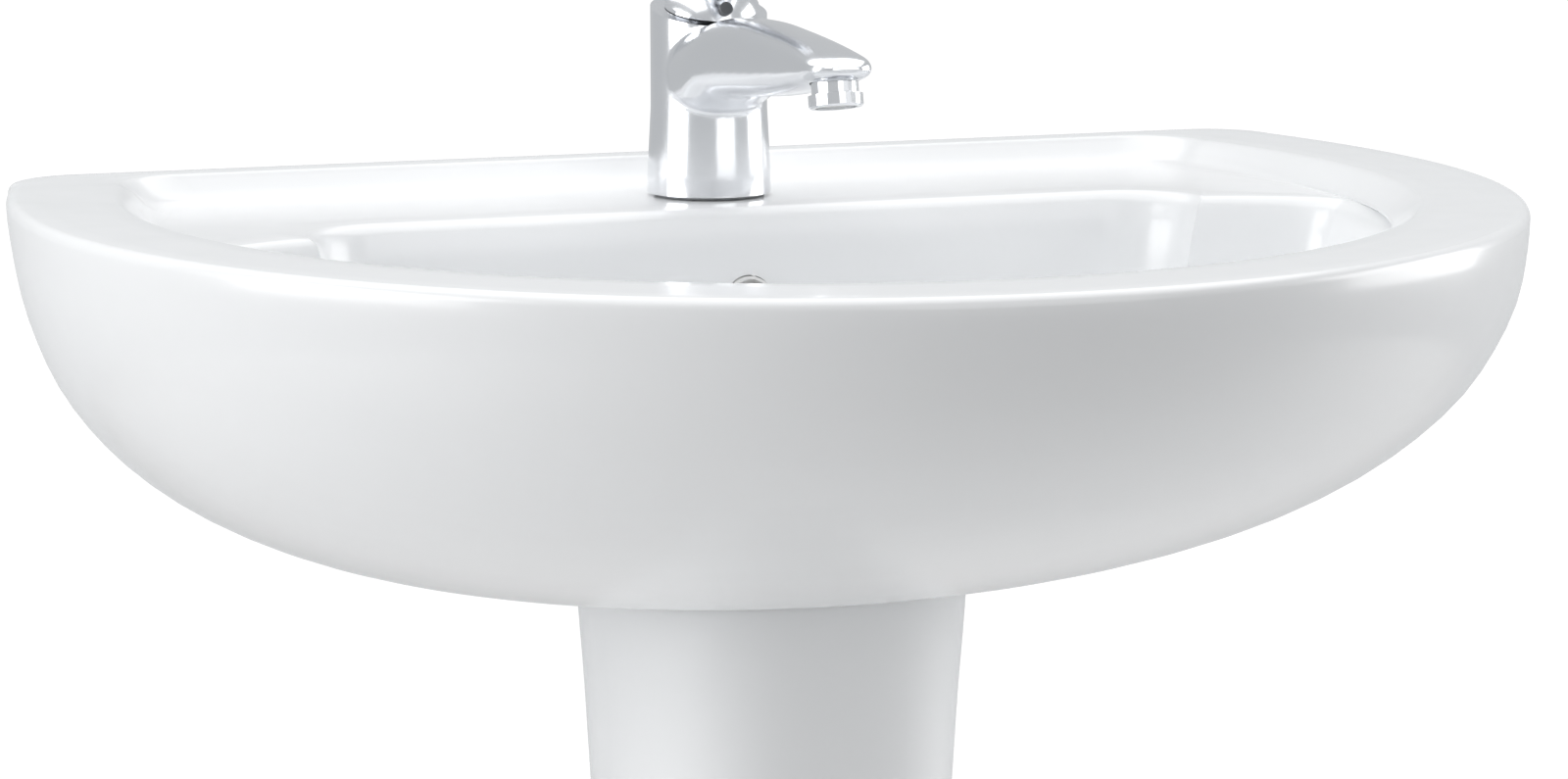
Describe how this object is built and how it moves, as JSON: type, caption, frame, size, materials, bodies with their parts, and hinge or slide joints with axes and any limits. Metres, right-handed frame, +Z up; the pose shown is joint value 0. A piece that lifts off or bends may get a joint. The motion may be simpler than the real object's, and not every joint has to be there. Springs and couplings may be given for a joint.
{
  "type": "pedestal washbasin",
  "caption": "White china D-shaped pedestal washbasin with chrome single-lever mixer tap, push-open waste and bottle trap",
  "frame": {"origin": "on the floor under the middle of the whole object's box, wall studs included", "axes": "+Z up, -Y towards the user, +Y into the wall, +X to the right facing the wall"},
  "size_m": [0.65, 0.55, 0.9444],
  "materials": {
    "china": "gloss white glaze",
    "chrome": "polished chrome plate on brass",
    "brass": "machined brass",
    "steel": "zinc-plated steel",
    "rubber": "moulded black rubber",
    "plastic": "moulded white plastic",
    "acetal": "moulded grey acetal",
    "disc": "lapped sintered ceramic",
    "marker": "dark grey plastic cap"
  },
  "bodies": {
    "fixed": {"basin": "china", "pedestal": "china", "wall_stud_left": "steel", "wall_stud_right": "steel", "wall_sleeve_left": "plastic", "wall_sleeve_right": "plastic", "wall_nut_left": "steel", "wall_nut_right": "steel", "tap_body": "chrome", "tap_base_seal": "rubber", "tap_under_seal": "rubber", "tap_clamp_plate": "steel", "tap_stud_front": "steel", "tap_stud_rear": "steel", "tap_stud_nut_front": "brass", "tap_stud_nut_rear": "brass", "inlet_tail_hot": "brass", "inlet_tail_cold": "brass", "aerator_housing": "chrome", "aerator_insert": "plastic", "aerator_seal": "rubber", "cartridge_base": "acetal", "ceramic_disc_fixed": "disc", "cartridge_housing": "acetal", "cartridge_nut": "brass", "cartridge_cover": "chrome", "waste_body": "chrome", "waste_top_seal": "rubber", "waste_under_seal": "rubber", "waste_back_nut": "brass", "plug_guide": "acetal", "plug_spring": "steel", "overflow_cup": "plastic", "trap_inlet_nut": "chrome", "trap_inlet_washer": "rubber", "trap_inlet_tube": "chrome", "trap_neck_nut": "chrome", "trap_body": "chrome", "trap_cup": "chrome", "trap_outlet_pipe": "chrome", "trap_outlet_seal": "rubber", "trap_outlet_nut": "chrome", "wall_rosette": "chrome"},
    "carrier": {"temperature_carrier": "plastic", "pivot_pin": "steel"},
    "handle": {"lever": "chrome", "cartridge_stem": "acetal", "lever_index_cap": "marker"},
    "disc": {"ceramic_disc_moving": "disc"},
    "plug": {"plug_cap": "chrome", "plug_seal": "rubber", "plug_stem": "brass"}
  },
  "joints": [
    {"name": "lever_turn", "type": "hinge", "parent": "fixed", "child": "carrier", "pos_m": [0, 0.14687, 0.9132], "axis": [0, -0.2079, 0.9781], "range_deg": [-50, 50]},
    {"name": "lever_tilt", "type": "hinge", "parent": "carrier", "child": "handle", "pos_m": [0, 0.14687, 0.9132], "axis": [-1, 0, 0], "range_deg": [0, 20]},
    {"name": "disc_slide", "type": "slide", "parent": "carrier", "child": "disc", "axis": [0, -0.9781, -0.2079], "range_m": [0, 0.0031]},
    {"name": "plug_press", "type": "slide", "parent": "fixed", "child": "plug", "axis": [0, 0, -1], "range_m": [0, 0.008], "deforming": ["plug_spring"]}
  ],
  "couplings": [
    {"joint": "disc_slide", "follows": "lever_tilt", "m_per_rad": 0.0084}
  ]
}
